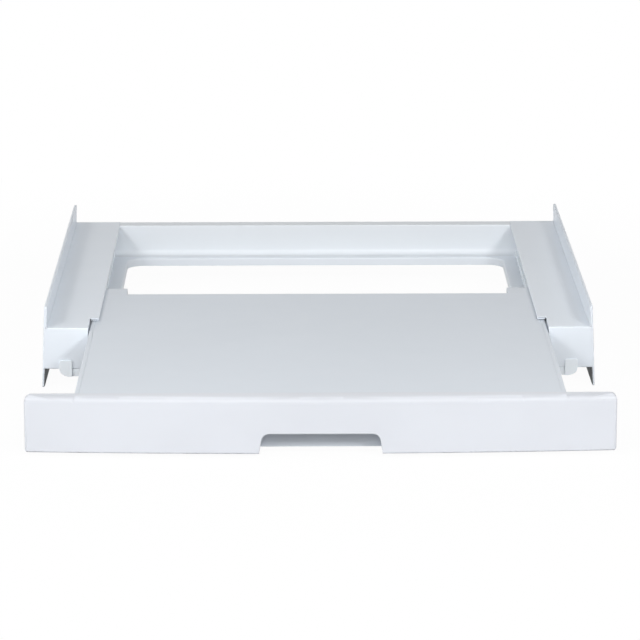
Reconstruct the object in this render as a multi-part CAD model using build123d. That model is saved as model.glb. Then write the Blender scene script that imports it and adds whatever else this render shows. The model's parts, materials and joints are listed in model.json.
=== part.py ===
from build123d import *
import math
import os

# Stacking kit with a pull-out tray, drawn with the tray pulled out.
# In the drawing frame x runs to the right, y runs back from the front edges of the side walls,
# and z runs up from the ledges that carry the upper machine. All sizes are in millimetres.
# Every piece that comes in pairs is drawn on the right and mirrored.

# Frame
frame_width = 605.0          # over the tops of the two side walls
frame_depth = 548.0          # front of the walls to the back of the rear beam
wall_rise = 24.0             # side wall above the ledge
skirt_drop = 67.7            # side skirt below the ledge
skirt_flare = 3.8            # how far the foot of a skirt stands out beyond the wall top
wall_rear_gap = 1.5          # the walls end this far in front of the beam's back
sheet = 1.0                  # steel sheet of the frame and the tray
hem_width = 9.0              # folded edge around each side panel
hem_bevel = 0.5              # along that folded edge
wall_nose_radius = 2.5       # front corners and lower corners of a side panel
wall_tail_radius = 8.0       # upper rear corner of a side panel
paint_gap = 0.02             # between pieces that lie against each other

# Ledges and fascias
ledge_span = 57.6            # ledge's inner edge from the wall's top
ledge_edge = 2.7             # height of the hemmed inner edge
ledge_hem = 9.0              # width of the hem folded under
ledge_cove = 2.0             # inner radius where the upstand meets the ledge
upstand_step = 0.3           # top of the upstand below the top of the wall
notch_length = 45.6          # cut in the front inner corner of each ledge
notch_width = 9.7
fascia_reach = 9.5           # lower edge of the fascia below the floor
fascia_return = 14.0         # flange folded back along the fascia's lower edge
jamb_depth = 40.0            # flange folded back along the fascia's inner edge
fold_inside = 0.2            # inner radius of a plain fold

# Base pan
floor_depth = 37.0           # floor below the ledge
web_offset = 7.4             # from the inner face of the jamb out to the side web
web_flange = 13.0            # flange of the web under the ledge
pan_setback = 2.0            # front edge of the pan behind the fascia's face
pan_lip_gap = 1.0            # each end of the pan's front lip to the fascia
opening_side = 10.9          # edge of the opening inside the ledge's inner edge
opening_front = 75.0         # front edge of the opening
opening_rear_margin = 43.0   # rear edge of the opening to the beam's back
opening_radius = 20.0
lip_drop = 9.5               # lip around the opening
lip_radius = 1.6             # rounded edge of the opening

# Rear beam
beam_top = 21.0              # depth of the beam's top flange
cove_radius = 6.5            # between the floor and the beam's front wall
beam_toe = 8.0               # flat toe in front of the cove
beam_fold = 1.6
beam_end_gap = 1.2           # each end of the rear skirt to the side panel
fixing_hole_radius = 2.75
fixing_hole_spacing = 460.0
fixing_hole_rise = 17.5      # above the lower edge of the rear skirt
rear_skirt_rise = 0.5        # lower edge of the rear skirt above the foot of the feet

# Guide rails
rail_front = 50.0
rail_rear_gap = 0.5          # in front of the rear beam's toe
rail_top_gap = 0.6           # under the ledge's hem
rail_wall = 3.9
rail_lip_width = 7.5
rail_lip_thickness = 3.0
rail_lip_rise = 7.0          # top of the lip above the floor
rail_lip_clearance = 0.35    # under the toe of the rear glide
rail_leg = 2.4
rail_slot_pitch = 24.0       # openings that lighten the rail's leg
rail_slot_length = 15.0
hook_count = 3               # snap hooks that hold the rail in the pan's web
hook_margin = 35.0           # each end of the rail to its nearest hook
hook_width = 10.0
hook_top = 16.0              # below the ledge
hook_neck = 4.0
hook_barb = 1.8              # how far the barb reaches below its neck
hook_thickness = 1.5
hook_gap = 0.3               # around the neck in its slot

# Tray stops
stop_gap = 0.3               # to the toe of the rear glide
stop_side_gap = 0.3          # to the inner edge of the rail's lip
stop_top_gap = 1.15          # under the tray's runner
stop_length = 14.0
stop_round = 4.5

# Front saddles
saddle_front = 5.0
saddle_length = 37.0
saddle_width = 10.8
saddle_side_gap = 0.6        # to the jamb
saddle_crown = 4.0
saddle_bevel = 1.0
saddle_screw_place = 23.5
saddle_bore_roof = 4.45      # above the screw's bore

# Front feet
foot_height = 8.5            # below the fascia
foot_side_gap = 18.6         # from the outer face of the side panel to the foot
foot_width = 49.0
foot_length = 40.0
foot_face_width = 14.0       # the part of the front foot that laps over the fascia
foot_face_rise = 9.8         # how far it laps up over the fascia
foot_face_thickness = 1.5
foot_corner_width = 12.0     # long round at the lower outer corner, seen from the front
foot_corner_rise = 8.2
foot_top_round = 2.0
foot_step = 0.5              # the rest of the foot's front stands back by this
foot_clip_thickness = 2.5    # clip behind the fascia's return
foot_clip_height = 2.2
foot_clip_reach = 2.0        # barb over the return
foot_clip_inset = 4.0
foot_clip_gap = 0.1

# Rear feet
rear_foot_inset = 36.0       # rear end of the foot to the beam's back
rear_foot_length = 60.0
rear_foot_lip_gap = 1.5      # to the lip of the opening
rear_foot_web_gap = 1.0      # to the face of the side web
rear_foot_bevel = 3.0
rear_foot_grooves = 4
rear_foot_groove_width = 3.0
rear_foot_groove_depth = 1.5

# Tray
tray_side_gap = 1.0          # to each jamb
tray_drop = 3.85             # top of the tray below the ledge
tray_front = -262.0          # front edge of the tray when pulled out
tray_park_gap = 49.6         # rear glide to the rear beam's toe when the tray is pushed in
tray_skirt = 16.2            # depth of the folded sides
tray_return = 10.0           # width of the flange along the foot of each side
tray_return_front = 12.0     # where that flange starts, behind the front edge
tray_return_rear = 2.0       # where it ends, in front of the rear edge
tray_corner_gap = 3.0        # each end of the rear flange to the folded side
tray_fold_inside = 0.5
tray_crease_inset = 5.6      # crease inside each side edge
tray_crease_width = 1.1
tray_crease_depth = 0.25
tray_flange_inset = 13.6     # front flange that carries the panel, to the tray's side
tray_flange_rise = 2.2       # lower edge of that flange above the panel's

# Ribs and runners under the tray
rib_front_inset = 87.0       # middle of the front rib behind the tray's front edge
rib_rear_inset = 114.9       # middle of the rear rib in front of the tray's rear edge
rib_width = 34.0
rib_depth = 12.0
rib_slope = 4.0
rib_brim = 11.0
rib_fold = 2.0
rib_end_gap = 2.0            # to the flange along the folded side
runner_width = 8.4
runner_edge = 0.6            # inside the outer face of the tray
runner_front = 14.0          # behind the tray's front edge
runner_rear = 8.0            # in front of the tray's rear edge
runner_height = 1.2
runner_bevel = 0.7
runner_clearance = 0.3       # above the saddles

# Rear glides
glide_length = 28.5
glide_reach = 33.5           # inwards from the tray's side
glide_outer_clearance = 1.0  # to the face of the guide rail
glide_toe_width = 6.1
glide_round = 2.0
glide_hollow_wall = 2.5
glide_screw_inset = 24.6     # from the tray's side
glide_screw_length = 9.0
glide_bore_depth = 10.0

# Front panel
panel_overhang = 2.5         # each end of the panel beyond the wall's top
panel_top = 3.5              # upper edge below the ledge
panel_foot_rise = 4.5        # lower edge above the foot of the skirts
panel_end_thickness = 10.7
panel_bow = 10.3             # how far the middle stands in front of the ends
panel_wall = 2.8
panel_top_round = 6.5        # along the upper front edge
panel_end_round = 3.0        # along the front edge of each end
panel_top_corner = 6.8       # seen from the front
panel_foot_corner = 3.6
panel_foot_round = 1.2
panel_inner_bevel = 3.0      # behind the rounded upper edge
notch_half_width = 60.0      # finger notch at its upper edge
notch_half_foot = 63.6       # finger notch at the panel's lower edge
notch_height = 21.2
notch_corner = 8.0
notch_wall = 2.2
upright_rib_pitch = 50.0
upright_rib_end_gap = 12.0   # no upright nearer to the panel's end than this
upright_rib_setback = 0.5    # behind the panel's rear edge
cross_rib_drop = 33.0        # middle of the lengthwise rib below the ledge
cross_rib_setback = 6.0
moulded_rib = 1.8            # thickness of both kinds
boss_radius = 4.2
boss_drop = 14.0             # below the ledge
boss_outer_inset = 30.0      # outer bosses to the end of the tray's flange
boss_inner_gap = 20.0        # inner bosses to the upper corners of the finger notch
boss_bore_depth = 8.0
panel_screw_length = 8.0
closed_gap = 2.5             # panel to fascia when the tray is pushed in

# Panel buffers
buffer_inset = 28.0          # from the panel's end
buffer_drop = 22.0
buffer_radius = 5.0
buffer_thickness = 2.2
buffer_pad = 7.0             # half the side of the moulded pad it is stuck to

# Screws
screw_radius = 1.75
screw_hole_gap = 0.05
screw_head_radius = 3.6      # over the corners of the hexagon
screw_head_height = 2.0
screw_tip_gap = 3.0          # to the end of its bore

# Working values for cutters and for picking edges
past = 5.0
touch = 0.01

# Places that follow from the sizes above
fold_radius = sheet + fold_inside
tray_fold = sheet + tray_fold_inside
ledge_inner = frame_width / 2 - ledge_span
jamb_inner = ledge_inner + notch_width
web_inner = jamb_inner + web_offset
upstand_inset = 2 * sheet + paint_gap
wall_depth = frame_depth - wall_rear_gap
wall_lean = math.atan(skirt_flare / (wall_rise + skirt_drop))
fascia_drop = floor_depth + fascia_reach
foot_drop = fascia_drop + foot_height
rear_skirt_foot = foot_drop - rear_skirt_rise
opening_half = ledge_inner - opening_side
opening_rear = frame_depth - opening_rear_margin
rear_foot_front = frame_depth - rear_foot_inset - rear_foot_length
beam_front = frame_depth - beam_top
pan_rear = beam_front - cove_radius - beam_toe
rail_rear = pan_rear - rail_rear_gap
rail_face = web_inner - paint_gap - rail_wall
rail_lip_top = floor_depth - rail_lip_rise
rail_lip_edge = rail_face - rail_lip_width
tray_travel = -tray_front - closed_gap
tray_rear = pan_rear - tray_park_gap - tray_travel - glide_length
tray_half = jamb_inner - tray_side_gap
tray_foot = tray_drop + tray_skirt
glide_inner = tray_half - glide_reach
glide_outer = rail_face - glide_outer_clearance
glide_toe_foot = rail_lip_top - rail_lip_clearance
glide_screw_place = tray_half - glide_screw_inset
glide_screw_drop = tray_drop + tray_skirt / 2
runner_foot = tray_foot + runner_height
saddle_top = runner_foot + runner_clearance
saddle_middle = jamb_inner - saddle_side_gap - saddle_width / 2
saddle_bore_top = saddle_top + saddle_bore_roof
panel_half = frame_width / 2 + panel_overhang
panel_foot = skirt_drop - panel_foot_rise
panel_back = tray_front
panel_middle = panel_back - panel_end_thickness - panel_bow
bow_radius = (panel_half ** 2 + panel_bow ** 2) / (2 * panel_bow)
tray_flange_half = tray_half - tray_flange_inset
tray_flange_foot = panel_foot - tray_flange_rise
notch_top = panel_foot - notch_height
boss_outer = tray_flange_half - boss_outer_inset
boss_inner = notch_half_width + boss_inner_gap
boss_places = (-boss_outer, -boss_inner, boss_inner, boss_outer)
buffer_place = panel_half - buffer_inset
shank_hole = screw_radius + screw_hole_gap
hook_pitch = (rail_rear - rail_front - 2 * hook_margin) / (hook_count - 1)
hook_places = [rail_front + hook_margin + index * hook_pitch for index in range(hook_count)]
part_shift = Location((0, -(panel_middle + frame_depth) / 2, skirt_drop))


def wall_x(z, inset):
    """x of the right-hand plane that lies inset behind the side panel's outer face at height z."""
    return frame_width / 2 + (wall_rise - z) * math.tan(wall_lean) - inset


def block(x0, x1, y0, y1, z0, z1):
    """Box between two corners."""
    low = Align.MIN
    return Pos(x0, y0, z0) * Box(x1 - x0, y1 - y0, z1 - z0, align=(low, low, low))


def prism_along_y(points, y0, y1):
    """Polygon of (x, z) points carried from y0 to y1."""
    face = make_face(Polyline(*[(x, y1, z) for x, z in points], close=True))
    return extrude(face, amount=y1 - y0, dir=(0, -1, 0))


def sheet_along_y(points, radii, y0, y1):
    """Sheet whose middle line runs through (x, z) points, folded with the given radii."""
    line = FilletPolyline(*points, radius=radii)
    return Pos(0, y1, 0) * Rot(90, 0, 0) * extrude(trace(line, line_width=sheet), amount=y1 - y0)


def sheet_along_x(points, radii, x0, x1):
    """Sheet whose middle line runs through (y, z) points, folded with the given radii."""
    line = FilletPolyline(*points, radius=radii)
    return Pos(x0, 0, 0) * (Plane.YZ * extrude(trace(line, line_width=sheet), amount=x1 - x0))


def both_sides(right):
    """A right-hand shape together with its mirror image."""
    return right + mirror(right, about=Plane.YZ)


def hole(centre, direction, radius, length):
    """Round cutter centred on a point."""
    return Plane(origin=centre, z_dir=direction) * Cylinder(radius, length)


def screw(seat, direction, length):
    """Hexagon-head screw whose head sits on the point seat and whose shank runs along direction."""
    middle = Align.CENTER
    shank = Cylinder(screw_radius, length, align=(middle, middle, Align.MIN))
    head = extrude(RegularPolygon(screw_head_radius, 6), amount=-screw_head_height)
    return Plane(origin=seat, z_dir=direction) * (shank + head)


def front_fold_cutter(x0, x1, radius):
    """What a fold along x takes off the square corner at the front of the ledge's top."""
    corner = block(x0, x1, -radius, radius, -radius, radius)
    round_part = Pos((x0 + x1) / 2, radius, -radius) * Rot(0, 90, 0) * Cylinder(radius, x1 - x0 + past)
    return corner - round_part


def side_panel_outline():
    """Flat outline of a side panel: x along its length, y up its slope from its lower edge."""
    height = side_panel_height()
    outline = Pos(wall_depth / 2, height / 2) * Rectangle(wall_depth, height)
    tail = outline.vertices().group_by(Axis.Y)[-1].sort_by(Axis.X)[-1]
    others = [corner for corner in outline.vertices() if corner != tail]
    outline = fillet(others, wall_nose_radius)
    tail = outline.vertices().group_by(Axis.X)[-1].sort_by(Axis.Y)[-1]
    return fillet(tail, wall_tail_radius)


def side_panel_height():
    """Height of a side panel along its slope."""
    return (wall_rise + skirt_drop - 2 * sheet * math.sin(wall_lean)) / math.cos(wall_lean)


def side_panel():
    """Side wall and skirt: one leaning sheet with its edges folded outwards all round."""
    height = side_panel_height()
    outline = side_panel_outline()
    window = Pos(wall_depth / 2, height / 2) * RectangleRounded(
        wall_depth - 2 * hem_width, height - 2 * hem_width, wall_nose_radius)
    panel = extrude(outline, amount=sheet) + Pos(0, 0, sheet) * extrude(outline - window, amount=sheet)
    rim = panel.edges().group_by(Axis.Z)[-1]
    panel = chamfer([edge for edge in rim if not inside_window(edge, height)], hem_bevel)
    panel = Pos(-2 * sheet, 0, -height) * (Plane.YZ * panel)
    return Pos(frame_width / 2, 0, wall_rise) * Rot(0, -math.degrees(wall_lean), 0) * panel


def inside_window(edge, height):
    """Whether an edge of the flat side panel belongs to the inner edge of its hem."""
    middle = edge.center()
    near = hem_width / 2
    return near < middle.X < wall_depth - near and near < middle.Y < height - near


def ledge():
    """Upstand, ledge, fascia and jamb in one folded sheet."""
    half = sheet / 2
    middle_inset = upstand_inset + half
    top = wall_rise - upstand_step
    hem_leg = -ledge_edge + half
    points = [
        (wall_x(top, middle_inset), top),
        (wall_x(-half, middle_inset), -half),
        (ledge_inner + half, -half),
        (ledge_inner + half, hem_leg),
        (ledge_inner + ledge_hem, hem_leg),
    ]
    hem_fold = (-half - hem_leg) * 0.49
    body = sheet_along_y(points, [ledge_cove + half, hem_fold, hem_fold], 0, frame_depth)
    body -= block(ledge_inner - past, jamb_inner, -past, notch_length, -ledge_edge - past, past)
    body -= block(wall_x(0, hem_width), wall_x(0, -past), wall_depth, frame_depth + past, 0, wall_rise + past)
    body += fascia()
    cove_start = wall_x(0, upstand_inset + sheet + ledge_cove)
    body -= front_fold_cutter(jamb_inner - past, cove_start, fold_radius)
    ends = [edge for edge in body.edges().filter_by_position(Axis.Z, top - sheet, top + sheet)
            if edge.length < 2 * sheet]
    body = fillet([edge for edge in ends if edge.center().Y > wall_depth / 2], wall_tail_radius)
    ends = [edge for edge in body.edges().filter_by_position(Axis.Z, top - sheet, top + sheet)
            if edge.length < 2 * sheet and edge.center().Y < touch]
    return fillet(ends, wall_nose_radius)


def fascia():
    """Front flange of the ledge's sheet, with its lower return and the jamb beside the tray."""
    start = -sheet / 2
    foot = -fascia_drop
    outer = [wall_x(z, upstand_inset) for z in (start, foot + sheet, foot)]
    front = prism_along_y([(jamb_inner, start), (outer[0], start), (outer[2], foot), (jamb_inner, foot)],
                          0, sheet)
    turned = prism_along_y([(jamb_inner, foot + sheet), (outer[1], foot + sheet), (outer[2], foot),
                            (jamb_inner, foot)], 0, fascia_return)
    jamb = block(jamb_inner, jamb_inner + sheet, 0, jamb_depth, -floor_depth + paint_gap, start)
    flange = front + turned + jamb
    front_edges = flange.edges().filter_by(Axis.X).filter_by_position(Axis.Y, -touch, touch)
    return fillet(front_edges.sort_by(Axis.Z)[0], fold_radius)


def base_pan():
    """Floor with its rounded opening and turned-down lip, side webs and front lip."""
    web_top = -sheet - paint_gap
    outer = web_inner + sheet
    front = pan_setback + sheet
    rear = beam_front - sheet
    pan = block(-outer, outer, pan_setback, pan_rear, -floor_depth - sheet, -floor_depth)
    lip_end = jamb_inner - pan_lip_gap
    pan += block(-lip_end, lip_end, pan_setback, front, -fascia_drop, -floor_depth)
    web = block(web_inner, outer, front, rear, -floor_depth - sheet, web_top)
    web += block(web_inner, web_inner + web_flange, front, rear, web_top - sheet, web_top)
    pan += both_sides(web)
    pan += opening_prism(sheet, lip_drop)
    pan -= Pos(0, 0, past) * opening_prism(0, lip_drop + 2 * past)
    upper = pan.edges().filter_by_position(Axis.Z, -floor_depth - touch, -floor_depth + touch)
    pan = fillet([edge for edge in upper if beside_opening(edge)], lip_radius)
    cutters = hole((saddle_middle, saddle_screw_place, -floor_depth), (0, 0, 1), shank_hole, 2 * past)
    half = hook_width / 2 + hook_gap
    for y in hook_places:
        cutters += block(web_inner - touch, outer + touch, y - half, y + half,
                         -hook_top - hook_neck - hook_gap, -hook_top + hook_gap)
    return pan - both_sides(cutters)


def opening_prism(grow, depth):
    """The floor's opening, grown all round and carried down from the floor's top."""
    length = opening_rear - opening_front
    outline = Pos(0, (opening_front + opening_rear) / 2) * RectangleRounded(
        2 * (opening_half + grow), length + 2 * grow, opening_radius + grow)
    return Pos(0, 0, -floor_depth - depth) * extrude(outline, amount=depth)


def beside_opening(edge):
    """Whether an edge of the floor runs round the opening."""
    middle = edge.center()
    inside_x = abs(middle.X) < opening_half + touch
    return inside_x and opening_front - touch < middle.Y < opening_rear + touch


def rear_beam():
    """Channel across the back: toe, cove, front wall, top flange and rear skirt."""
    half = sheet / 2
    points = [
        (pan_rear, -floor_depth - half),
        (beam_front + half, -floor_depth - half),
        (beam_front + half, -half),
        (frame_depth - half, -half),
        (frame_depth - half, -rear_skirt_foot),
    ]
    radii = [cove_radius + half, beam_fold - half, beam_fold - half]
    reach = web_inner - paint_gap
    beam = sheet_along_x(points, radii, -reach, reach)
    shoulder_z = -ledge_edge - paint_gap
    under_ledge = block(ledge_inner - paint_gap, web_inner + past, pan_rear - past, frame_depth + past,
                        shoulder_z, past)
    beam -= both_sides(under_ledge)
    end_inset = 2 * sheet + beam_end_gap
    foot_z = -rear_skirt_foot
    hem_z = foot_z + hem_width
    top_x, hem_x, foot_x = [wall_x(z, end_inset) for z in (shoulder_z, hem_z, foot_z)]
    corners = [(-top_x, shoulder_z), (top_x, shoulder_z), (foot_x, foot_z), (-foot_x, foot_z)]
    beam += prism_along_y(corners, frame_depth - sheet, frame_depth)
    corners = [(-hem_x, hem_z), (hem_x, hem_z), (foot_x, foot_z), (-foot_x, foot_z)]
    beam += prism_along_y(corners, frame_depth - 2 * sheet, frame_depth)
    centre = (fixing_hole_spacing / 2, frame_depth - half, foot_z + fixing_hole_rise)
    return beam - both_sides(hole(centre, (0, 1, 0), fixing_hole_radius, past))


def guide_rail():
    """Moulded channel: a tall web with snap hooks, the lip that carries the rear glide, and a pierced leg."""
    floor = -floor_depth + paint_gap
    top = -ledge_edge - rail_top_gap
    back = rail_face + rail_wall
    lip_foot = -rail_lip_top - rail_lip_thickness
    outline = [
        (rail_face, top),
        (back, top),
        (back, floor),
        (back - rail_leg, floor),
        (back - rail_leg, lip_foot),
        (rail_lip_edge + rail_leg, lip_foot),
        (rail_lip_edge + rail_leg, floor),
        (rail_lip_edge, floor),
        (rail_lip_edge, -rail_lip_top),
        (rail_face, -rail_lip_top),
    ]
    rail = prism_along_y(outline, rail_front, rail_rear)
    for index in range(int((rail_rear - rail_front) / rail_slot_pitch)):
        y = rail_front + rail_slot_pitch * (index + 0.5)
        rail -= block(rail_lip_edge - past, rail_lip_edge + rail_leg + touch, y - rail_slot_length / 2,
                      y + rail_slot_length / 2, floor - past, lip_foot)
    behind_web = web_inner + sheet + paint_gap
    hook_foot = -hook_top - hook_neck
    hook = [
        (back, -hook_top),
        (behind_web + hook_thickness, -hook_top),
        (behind_web + hook_thickness, hook_foot),
        (behind_web, hook_foot - hook_barb),
        (behind_web, hook_foot),
        (back, hook_foot),
    ]
    for y in hook_places:
        rail += prism_along_y(hook, y - hook_width / 2, y + hook_width / 2)
    return rail


def tray_stop():
    """Block on the rail's lip that the toe of the rear glide meets."""
    rear = tray_rear - stop_gap
    top = -runner_foot - stop_top_gap
    body = block(rail_lip_edge + stop_side_gap, rail_face - paint_gap, rear - stop_length, rear,
                 -rail_lip_top, top)
    top_front = body.edges().filter_by(Axis.X).group_by(Axis.Z)[-1].sort_by(Axis.Y)[0]
    return fillet(top_front, min(stop_round, (rail_lip_top + top) * 0.6))


def front_saddle():
    """Crowned block on the floor that carries the tray's runner."""
    half = saddle_width / 2
    body = block(saddle_middle - half, saddle_middle + half, saddle_front, saddle_front + saddle_length,
                 -floor_depth + paint_gap, -saddle_top)
    body = chamfer(body.edges().filter_by(Axis.Z), saddle_bevel)
    crown_profile = Pos(0, saddle_front + saddle_length / 2, -saddle_top - floor_depth / 2) * Box(
        2 * frame_width, saddle_length, floor_depth)
    crown_profile = fillet(crown_profile.edges().filter_by(Axis.X).group_by(Axis.Z)[-1], saddle_crown)
    body &= crown_profile
    return body - hole((saddle_middle, saddle_screw_place, -floor_depth), (0, 0, 1), shank_hole,
                       2 * (floor_depth - saddle_bore_top))


def saddle_screws():
    """Screws up through the floor into both saddles."""
    seat = -floor_depth - sheet
    length = -saddle_bore_top - screw_tip_gap - seat
    return Compound([screw((side * saddle_middle, saddle_screw_place, seat), (0, 0, 1), length)
                     for side in (-1, 1)])


def front_foot():
    """Foot under the fascia: a face that laps over it, a body, and a clip behind the fascia's return."""
    outer = wall_x(-fascia_drop, foot_side_gap)
    face_inner = outer - foot_face_width
    top = -fascia_drop - paint_gap
    face_top = -fascia_drop + foot_face_rise
    foot = block(face_inner, outer, -foot_face_thickness, -paint_gap, -foot_drop, face_top)
    foot += block(face_inner, outer, -foot_face_thickness, foot_length, -foot_drop, top)
    foot += block(outer - foot_width, face_inner, foot_step, foot_length, -foot_drop, top)
    foot = fillet(foot.edges().filter_by(Axis.Y).group_by(Axis.Z)[-1], foot_top_round)
    foot -= foot_corner_cutter(outer)
    clip_x = (face_inner, outer - foot_clip_inset)
    clip_front = fascia_return + foot_clip_gap
    clip_rear = clip_front + foot_clip_thickness
    over_return = -fascia_drop + sheet + paint_gap
    clip_top = over_return + foot_clip_height
    foot += block(*clip_x, clip_front, clip_rear, top, clip_top)
    foot += block(*clip_x, fascia_return - foot_clip_reach, clip_rear, over_return, clip_top)
    return foot


def foot_corner_cutter(outer):
    """What the long elliptical round takes off the foot's lower outer corner."""
    centre_x = outer - foot_corner_width
    centre_z = -foot_drop + foot_corner_rise
    corner = block(centre_x, outer + past, -past, foot_length + past, -foot_drop - past, centre_z)
    ellipse = extrude(Ellipse(foot_corner_width, foot_corner_rise), amount=foot_length + 4 * past)
    return corner - Pos(centre_x, foot_length + 2 * past, centre_z) * Rot(90, 0, 0) * ellipse


def rear_foot():
    """Rubber foot between the opening's lip and the side web, grooved underneath."""
    x0 = opening_half + sheet + rear_foot_lip_gap
    x1 = web_inner - rear_foot_web_gap
    foot = block(x0, x1, rear_foot_front, rear_foot_front + rear_foot_length,
                 -foot_drop, -floor_depth - sheet - paint_gap)
    foot = chamfer(foot.edges().filter_by(Axis.Z), rear_foot_bevel)
    half = rear_foot_groove_width / 2
    for index in range(rear_foot_grooves):
        y = rear_foot_front + rear_foot_length * (index + 1) / (rear_foot_grooves + 1)
        foot -= block(x0 - past, x1 + past, y - half, y + half, -foot_drop - past,
                      -foot_drop + rear_foot_groove_depth)
    return foot


def tray_plate():
    """Top sheet with creases, folded sides with returns, rear flange and deep front flange."""
    top = -tray_drop
    plate = block(-tray_half, tray_half, tray_front, tray_rear, top - sheet, top)
    side = block(tray_half - sheet, tray_half, tray_front, tray_rear, -tray_foot, top)
    side += block(tray_half - tray_return, tray_half, tray_front + tray_return_front,
                  tray_rear - tray_return_rear, -tray_foot, -tray_foot + sheet)
    plate += both_sides(side)
    rear_half = tray_half - tray_corner_gap
    plate += block(-rear_half, rear_half, tray_rear - sheet, tray_rear, -tray_foot, top)
    plate += block(-tray_flange_half, tray_flange_half, tray_front, tray_front + sheet,
                   -tray_flange_foot, top)
    upper = plate.edges().filter_by(Axis.Y).filter_by_position(Axis.Z, top - touch, top + touch)
    plate = fillet([edge for edge in upper if abs(edge.center().X) > tray_half - touch], tray_fold)
    crease_x = tray_half - tray_crease_inset
    cutters = block(crease_x, crease_x + tray_crease_width, tray_front - past, tray_rear + past,
                    top - tray_crease_depth, top + past)
    cutters += hole((glide_screw_place, tray_rear, -glide_screw_drop), (0, 1, 0), shank_hole, past)
    plate -= both_sides(cutters)
    for x in boss_places:
        plate -= hole((x, tray_front, -boss_drop), (0, 1, 0), shank_hole, past)
    return plate


def tray_rib(middle):
    """Hat-section stiffener across the tray, under its sheet."""
    top = -tray_drop - sheet - paint_gap - sheet / 2
    foot = top - rib_depth
    half = rib_width / 2
    points = [
        (middle - half - rib_brim, top),
        (middle - half, top),
        (middle - half + rib_slope, foot),
        (middle + half - rib_slope, foot),
        (middle + half, top),
        (middle + half + rib_brim, top),
    ]
    reach = tray_half - tray_return - rib_end_gap
    return sheet_along_x(points, [rib_fold] * 4, -reach, reach)


def side_runner():
    """Low-friction strip under the tray's side."""
    outer = tray_half - runner_edge
    strip = block(outer - runner_width, outer, tray_front + runner_front, tray_rear - runner_rear,
                  -runner_foot, -tray_foot - paint_gap)
    return chamfer(strip.edges().filter_by(Axis.X).group_by(Axis.Z)[0], runner_bevel)


def rear_glide():
    """Rear glide: a block flush with the tray and a toe that runs on the guide rail's lip."""
    y0 = tray_rear + paint_gap
    y1 = tray_rear + glide_length
    outline = [
        (glide_inner, -tray_drop),
        (glide_outer - glide_round, -tray_drop),
        (glide_outer, -tray_drop - glide_round),
        (glide_outer, -glide_toe_foot),
        (glide_outer - glide_toe_width, -glide_toe_foot),
        (glide_outer - glide_toe_width, -tray_foot),
        (glide_inner, -tray_foot),
    ]
    glide = prism_along_y(outline, y0, y1)
    glide = fillet(glide.edges().filter_by(Axis.Z).group_by(Axis.Y)[-1], glide_round)
    hollow_x0 = glide_screw_place + screw_radius + glide_hollow_wall
    hollow_x1 = glide_outer - glide_toe_width - glide_hollow_wall
    glide -= block(hollow_x0, hollow_x1, y0 + glide_hollow_wall, y1 - glide_hollow_wall,
                   -tray_foot - past, -tray_drop - glide_hollow_wall)
    mouth = (glide_screw_place, y0, -glide_screw_drop)
    return glide - hole(mouth, (0, 1, 0), shank_hole, 2 * glide_bore_depth)


def glide_screws():
    """Screws through the tray's rear flange into both glides."""
    seat = tray_rear - sheet
    return Compound([screw((side * glide_screw_place, seat, -glide_screw_drop), (0, 1, 0), glide_screw_length)
                     for side in (-1, 1)])


def panel_plan(inset, back):
    """The panel seen from above, with its bowed front and its ends drawn in by inset."""
    half = panel_half - inset
    ends = panel_middle + bow_radius - math.sqrt((bow_radius - inset) ** 2 - half ** 2)
    front = ThreePointArc((-half, ends), (0, panel_middle + inset), (half, ends))
    return make_face(front + Polyline((half, ends), (half, back), (-half, back), (-half, ends)))


def end_cutter():
    """What rounds the upright front edge of the panel's end, as a piece to take away."""
    radius = panel_end_round
    centre_y = panel_middle + bow_radius
    round_y = centre_y - math.sqrt((bow_radius - radius) ** 2 - (panel_half - radius) ** 2)
    share = bow_radius / (bow_radius - radius)
    on_bow = ((panel_half - radius) * share, centre_y + (round_y - centre_y) * share)
    on_end = (panel_half, round_y)
    on_round = (panel_half - radius + radius * math.sqrt(0.5), round_y - radius * math.sqrt(0.5))
    outside = on_bow[1] - past
    outline = make_face(ThreePointArc(on_bow, on_round, on_end) + Polyline(
        on_end, (panel_half + past, round_y), (panel_half + past, outside), (on_bow[0], outside), on_bow))
    return Pos(0, 0, -panel_foot - past) * extrude(outline, amount=panel_foot + 2 * past, dir=(0, 0, 1))


def corner_cutter(z, outwards, radius):
    """What rounds a corner of the panel's front view at height z, as a piece to take away."""
    inner_x = panel_half - radius
    inner_z = z - outwards * radius
    bulge = radius * math.sqrt(0.5)
    outline = make_face(ThreePointArc((inner_x, z), (inner_x + bulge, inner_z + outwards * bulge),
                                      (panel_half, inner_z)) + Polyline(
        (panel_half, inner_z), (panel_half + past, inner_z), (panel_half + past, z + outwards * past),
        (inner_x, z + outwards * past), (inner_x, z)))
    depth = panel_back - panel_middle + 2 * past
    lying = Rot(90, 0, 0) * extrude(outline, amount=depth, dir=(0, 0, 1))
    return Pos(0, panel_back + past, 0) * lying


def panel_body():
    """The panel as a rounded solid up to its back."""
    plan = panel_plan(0, panel_back)
    body = Pos(0, 0, -panel_foot) * extrude(plan, amount=panel_foot - panel_top, dir=(0, 0, 1))
    for z, radius in ((-panel_top, panel_top_round), (-panel_foot, panel_foot_round)):
        level = body.edges().filter_by_position(Axis.Z, z - touch, z + touch)
        body = fillet(level.sort_by(Axis.Y)[0], radius)
    cutters = end_cutter() + corner_cutter(-panel_top, 1, panel_top_corner)
    cutters += corner_cutter(-panel_foot, -1, panel_foot_corner)
    return body - both_sides(cutters)


def panel_cavity():
    """The hollow behind the panel's skin, carried out through its back."""
    top = -panel_top - panel_wall
    foot = -panel_foot + panel_wall
    plan = panel_plan(panel_wall, panel_back + past)
    cavity = Pos(0, 0, foot) * extrude(plan, amount=top - foot, dir=(0, 0, 1))
    upper = cavity.edges().filter_by_position(Axis.Z, top - touch, top + touch)
    cavity = chamfer(upper.sort_by(Axis.Y)[0], panel_inner_bevel)
    ends = cavity.edges().filter_by(Axis.Y).group_by(Axis.Z)[-1]
    return chamfer(ends, panel_inner_bevel)


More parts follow.
